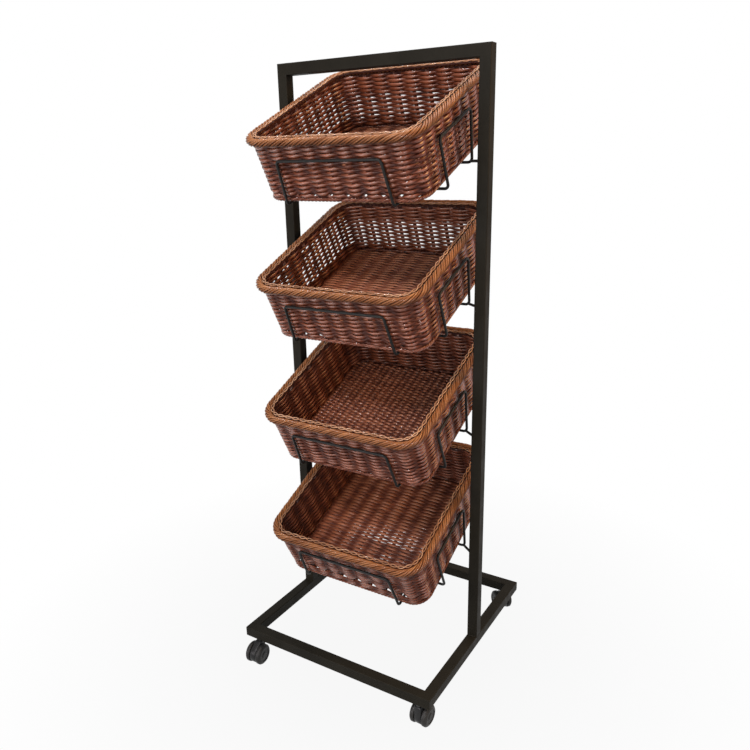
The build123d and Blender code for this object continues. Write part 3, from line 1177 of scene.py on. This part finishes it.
@dataclass
class TwinWheelCaster:
    """Caster with a swivelling housing between two dished wheels."""

    corner: Corner
    finishes: Finishes
    radius: float = 0.025
    width: float = 0.013
    wheel_start: float = 0.0095
    wheel_around: int = 64
    hood_radius: float = 0.0232
    hood_half: float = 0.0090
    hood_edge: float = 0.0030
    hood_around: int = 72
    hood_stations: int = 13
    boss_half: float = 0.0095
    boss_top: float = 0.0307
    trail: float = 0.013

    @property
    def body(self) -> str:
        """Name of the swivelling body."""
        return f"caster_{self.corner.value}"

    def build(self) -> None:
        """Turn both wheels, mould the housing and dress the axle."""
        for side in Side:
            self.wheel(side)
        self.housing()
        dress(f"{self.body}_axle", self.finishes.steel)

    def axle(self, side: Side) -> tuple[Array, Array]:
        """Return the middle of the axle and its outward direction on one side, a point and a unit vector."""
        name = f"{self.body}_wheel_{side.word}_roll"
        joint = next(item for item in frame["joints"] if item["name"] == name)
        return np.array(joint["pos_m"], float), unit(np.array(joint["axis"], float)) * side.value

    def housing(self) -> None:
        """Mould the housing: the hull of a disc about the axle and a block about the stem, with round edges.

        In each direction d of the hull's plane the outline is p + grow * d, where p is the point of the
        smaller hull that lies farthest that way, and grow follows a quarter circle at both sides.
        """
        middle, way = self.axle(Side.RIGHT)
        ahead = np.cross(UP, way)
        angle = angles(self.hood_around)
        rays = np.stack([np.cos(angle), np.sin(angle)], axis=-1)
        block = self.boss_half - self.hood_edge
        low, high, top = -self.trail - block, block - self.trail, self.boss_top - self.hood_edge
        disc = rays * (self.hood_radius - self.hood_edge)
        points = np.concatenate([disc, [(low, top), (high, top), (low, 0.0)]])
        core = points[np.argmax(rays @ points.T, axis=1)]
        turn = np.linspace(-1.0, 1.0, self.hood_stations) * math.pi / 2
        across = np.sin(turn) * self.hood_edge + np.sign(turn) * (self.hood_half - self.hood_edge)
        grow = self.hood_edge * np.cos(turn)
        flat = core[None] + grow[:, None, None] * rays[None]
        rings = middle + flat[..., :1] * ahead + flat[..., 1:] * UP + across[:, None, None] * way
        item = strand_object(f"{self.body}_hood", rings[None], False)
        settle(item, self.body, self.finishes.housing, (f"{self.body}_housing",))

    def wheel_profile(self) -> Array:
        """Return (radius, distance along the axle) round the inner face, tread, shoulder, dish and cap."""
        r, w = self.radius, self.width
        inner_face = [(0.0032, 0.0), (0.0070, 0.0), (0.0075, 0.0006), (0.0205, 0.0006), (r - 0.0022, 0.0)]
        tread = [(r - 0.0006, 0.0006), (r, 0.0022), (r, 0.0048), (r, w - 0.0052)]
        shoulder = [(r - 0.0012, w - 0.0036), (r - 0.0034, w - 0.0017), (r - 0.0062, w - 0.0004)]
        shoulder += [(r - 0.0078, w)]
        dish = [(r - 0.0086, w - 0.0002), (r - 0.0090, w - 0.0014), (r - 0.0098, w - 0.0016)]
        dish += [(0.0110, w - 0.0012), (0.0078, w - 0.0010)]
        cap = [(0.0074, w - 0.0001), (0.0060, w), (0.0004, w)]
        return np.array(inner_face + tread + shoulder + dish + cap)

    def wheel(self, side: Side) -> None:
        """Turn one wheel: its profile is spun about the axle.

        Args:
            side: side of the caster.
        """
        reach, along = self.wheel_profile().T[:, :, None, None]
        middle, way = self.axle(side)
        angle = angles(self.wheel_around)
        ahead = np.cross(UP, way)
        spoke = np.cos(angle)[:, None] * ahead + np.sin(angle)[:, None] * UP
        points = middle + reach * spoke[None] + (self.wheel_start + along) * way
        rings = points[None] if np.dot(np.cross(ahead, UP), way) > 0 else points[None, :, ::-1]
        name = f"{self.body}_wheel_{side.word}"
        item = strand_object(f"{name}_turned", rings, False)
        settle(item, name, self.finishes.wheel, (name,))


@dataclass(frozen=True)
class SoftLamp:
    """Large square lamp aimed at a point."""

    name: str
    place: Point
    aim: Point
    size: float
    power: float
    color: Color

    def hang(self) -> None:
        """Hang the lamp and aim it."""
        lamp = bpy.data.lights.new(self.name, "AREA")
        lamp.shape = "SQUARE"
        lamp.size = self.size
        lamp.energy = self.power
        lamp.color = self.color
        item = bpy.data.objects.new(self.name, lamp)
        item.location = self.place
        item.visible_camera = False
        item.rotation_euler = (Vector(self.aim) - Vector(self.place)).to_track_quat("-Z", "Y").to_euler()
        bpy.context.scene.collection.objects.link(item)


@dataclass
class Studio:
    """White floor, soft lamps and the camera at the photograph's viewing angle."""

    ambient: float = 0.62
    lamps: tuple[SoftLamp, ...] = (
        SoftLamp("front_lamp", (-0.3, -3.0, 1.2), (0.0, 0.0, 0.75), 2.0, 32.0, (1.0, 0.97, 0.95)),
        SoftLamp("low_lamp", (-1.0, -1.7, 0.35), (0.0, -0.2, 1.0), 0.9, 8.0, (1.0, 0.93, 1.0)),
        SoftLamp("high_lamp", (-0.2, -2.2, 3.0), (0.0, 0.0, 0.75), 0.5, 62.0, (1.0, 0.94, 0.97)),
        SoftLamp("corner_lamp", (2.2, -1.9, 0.9), (0.0, 0.0, 0.75), 1.2, 22.0, (1.0, 0.95, 1.0)),
        SoftLamp("right_lamp", (1.6, 0.3, 1.9), (0.0, 0.0, 1.1), 1.0, 28.0, (1.0, 0.54, 0.16)),
        SoftLamp("top_lamp", (0.2, 0.2, 3.2), (0.0, 0.0, 0.6), 1.6, 40.0, (1.0, 0.95, 0.88)),
    )
    floor_radius: float = 6.0
    floor_level: float = -0.0004
    floor_rings: int = 24
    floor_around: int = 64
    floor_grey: float = 0.86
    floor_rough: float = 0.9
    fade_reach: Pair = (0.25, 1.1)
    fade_share: Pair = (0.93, 1.0)
    camera_place: Point = (0.83935, -1.38673, 1.21078)
    heading: float = math.radians(31.51)
    pitch: float = math.radians(17.23)
    roll: float = math.radians(-1.10)
    sensor: float = 36.0
    lens: float = 34.17
    shift: Pair = (-0.0064, 0.0061)
    sight: float = 50.0

    def build(self) -> None:
        """Set up the floor, the light and the camera."""
        self.world()
        self.floor()
        for lamp in self.lamps:
            lamp.hang()
        self.camera()
        bpy.context.scene.view_settings.view_transform = "Standard"

    def world(self) -> None:
        """Light from all round: white where the camera looks, an even soft level elsewhere."""
        world = bpy.data.worlds.new("studio")
        bpy.context.scene.world = world
        nodes = NodeTree(world)
        seen = nodes.node("LightPath").outputs["Is Camera Ray"]
        level = nodes.spread(seen, (0.0, 1.0), (self.ambient, 1.0))
        background = nodes.node("Background", {"Color": WHITE, "Strength": level})
        nodes.node("OutputWorld", {"Surface": background.outputs["Background"]})

    def floor(self) -> None:
        """Lay a round pale floor, nearly white to the camera, that keeps a soft shadow near the stand.

        The floor is a polar grid: radius grows with the square of the first parameter, the second turns.
        """
        share = np.linspace(0.0, 1.0, self.floor_rings + 1)[1:]
        radius, angle = (self.floor_radius * share**2)[:, None], angles(self.floor_around)
        points = spread_points(radius * np.cos(angle), radius * np.sin(angle), self.floor_level)
        item = strand_object("studio_floor", points[None, ::-1], False)
        grey = (self.floor_grey, self.floor_grey, self.floor_grey, 1.0)
        values = {"Base Color": grey, "Roughness": self.floor_rough, "Specular IOR Level": 0.0}
        shader = Shader("studio_floor", values)
        glow = shader.node("Emission", {"Color": WHITE, "Strength": 1.0})
        place = shader.node("TexCoord").outputs["Object"]
        far = shader.node("VectorMath", {"Vector": place}, operation="LENGTH")
        fade = shader.spread(far.outputs["Value"], self.fade_reach, self.fade_share)
        path = shader.node("LightPath")
        rays = {0: path.outputs["Is Camera Ray"], 1: path.outputs["Is Glossy Ray"]}
        seen = shader.node("Math", rays, operation="MAXIMUM")
        share_seen = shader.node("Math", {0: seen.outputs["Value"], 1: fade}, operation="MULTIPLY")
        surface, light = shader.surface.outputs["BSDF"], glow.outputs["Emission"]
        mix = shader.node("MixShader", {0: share_seen.outputs["Value"], 1: surface, 2: light})
        shader.tree.links.new(mix.outputs["Shader"], shader.output.inputs["Surface"])
        item.data.materials.append(shader.owner)

    def camera(self) -> None:
        """Stand the camera where the photograph was taken from: heading, pitch and a slight roll."""
        ahead = Vector((-math.sin(self.heading), math.cos(self.heading), 0.0))
        forward = math.cos(self.pitch) * ahead - math.sin(self.pitch) * Vector((0.0, 0.0, 1.0))
        level = Vector((math.cos(self.heading), math.sin(self.heading), 0.0))
        upward = level.cross(forward)
        across = math.cos(self.roll) * level + math.sin(self.roll) * upward
        upward = math.cos(self.roll) * upward - math.sin(self.roll) * level
        lens = bpy.data.cameras.new("photo_camera")
        lens.sensor_width = self.sensor
        lens.lens = self.lens
        lens.shift_x, lens.shift_y = self.shift
        lens.clip_end = self.sight
        item = bpy.data.objects.new("photo_camera", lens)
        turn = Matrix((across, upward, -forward)).transposed()
        item.matrix_world = Matrix.Translation(self.camera_place) @ turn.to_4x4()
        bpy.context.scene.collection.objects.link(item)
        bpy.context.scene.camera = item


def main() -> None:
    """Build the studio, the frame, the casters and then each tier's cradle and basket."""
    logging.basicConfig(level=logging.INFO, format="%(message)s")
    finishes = Finishes.mixed()
    Studio().build()
    TubeFrame(finishes).build()
    for node in ("caster_stems", "caster_sockets"):
        dress(node, finishes.steel)
    for corner in Corner:
        TwinWheelCaster(corner, finishes).build()
    for tier, style in enumerate(STYLES, 1):
        seat = Seat(tier)
        WireCradle(seat, finishes).build()
        WovenBasket(seat, finishes, style).build()


if __name__ == "__main__":
    main()
